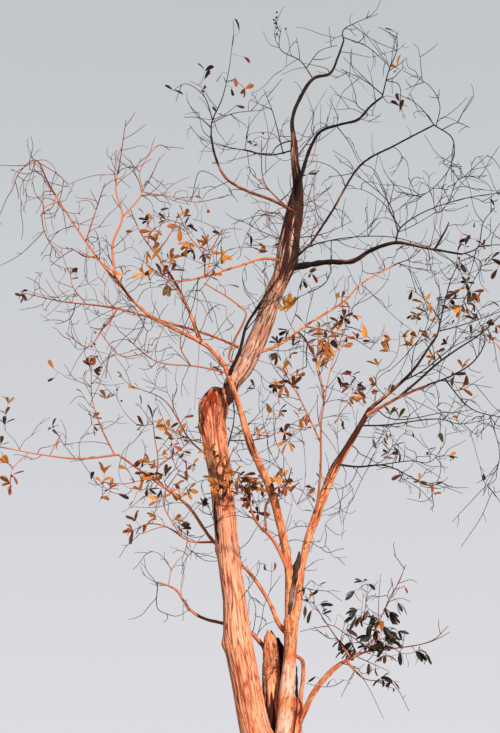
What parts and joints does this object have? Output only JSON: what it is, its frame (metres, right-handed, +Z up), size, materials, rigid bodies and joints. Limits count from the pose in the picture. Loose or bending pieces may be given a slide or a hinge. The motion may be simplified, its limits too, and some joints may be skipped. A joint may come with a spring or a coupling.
{
  "type": "bare winter tree",
  "caption": "Tall deciduous tree in winter: bole forking into a leaning pollarded stem, a new upper trunk and long sinuous boughs with sparse bare and part-leafed twigs.",
  "frame": {"origin": "centre of the flat cut under the bole, at ground level", "axes": "+Z up, along the height; +Y leads away from the side seen in the picture; +X to the right of that view"},
  "size_m": [7.1459, 5.0457, 12.6038],
  "materials": {
    "stem_bark": "dry fissured bark, matt",
    "dead_wood": "weathered dead wood, splintered, matt",
    "smooth_bark": "smooth thin bark, matt",
    "dark_bark": "grey-brown bark, matt",
    "bare_twigs": "fine twig bark, matt",
    "amber_sprays": "twigs with dry amber leaves, slightly waxy",
    "green_sprays": "twigs with dark olive leaves, slightly waxy"
  },
  "bodies": {
    "root": {"trunk": "stem_bark", "snag": "dead_wood", "east_stem": "smooth_bark", "inner_west_stem": "smooth_bark", "east_bough": "smooth_bark", "upper_trunk": "dark_bark", "top_leader": "dark_bark", "second_leader": "dark_bark", "upper_west_bough": "dark_bark", "mid_west_bough": "smooth_bark", "right_bough": "dark_bark", "west_bough": "smooth_bark", "arch_bough": "dark_bark", "arch_bough_end": "dark_bark", "right_back_bough": "smooth_bark", "west_back_bough": "smooth_bark", "north_west_bough": "smooth_bark", "low_west_bough": "smooth_bark", "dead_branch": "dead_wood", "elbow_limb": "smooth_bark", "right_low_bough": "smooth_bark", "north_east_bough": "dark_bark", "east_low_bough": "smooth_bark", "back_bough": "dark_bark", "low_back_bough": "smooth_bark", "top_twigs": "bare_twigs", "top_west_twigs": "bare_twigs", "second_tip_twigs": "bare_twigs", "curl_twigs": "bare_twigs", "far_east_twigs": "bare_twigs", "right_tip_twigs": "green_sprays", "crossing_twigs": "bare_twigs", "upper_west_twigs": "amber_sprays", "trunk_top_twigs": "bare_twigs", "trunk_east_twigs": "bare_twigs", "trunk_front_twigs": "bare_twigs", "mid_west_twigs": "amber_sprays", "north_west_twigs": "amber_sprays", "vertical_west_twigs": "bare_twigs", "far_west_twigs": "bare_twigs", "west_back_twigs": "bare_twigs", "junction_twigs": "bare_twigs", "low_west_tip_twigs": "amber_sprays", "low_west_leaf_twigs": "amber_sprays", "lower_west_twigs": "green_sprays", "trunk_leaf_twigs": "amber_sprays", "stem_sprout_twigs": "green_sprays", "middle_twigs": "green_sprays", "sprout_twigs": "amber_sprays", "right_back_side_twigs": "amber_sprays", "right_back_tip_twigs": "bare_twigs", "north_east_tip_twigs": "green_sprays", "north_east_side_twigs": "amber_sprays", "east_low_tip_twigs": "green_sprays", "east_low_side_twigs": "bare_twigs", "low_right_twigs": "bare_twigs", "right_low_twigs": "green_sprays", "back_twigs": "bare_twigs", "low_back_twigs": "amber_sprays"}
  },
  "joints": []
}
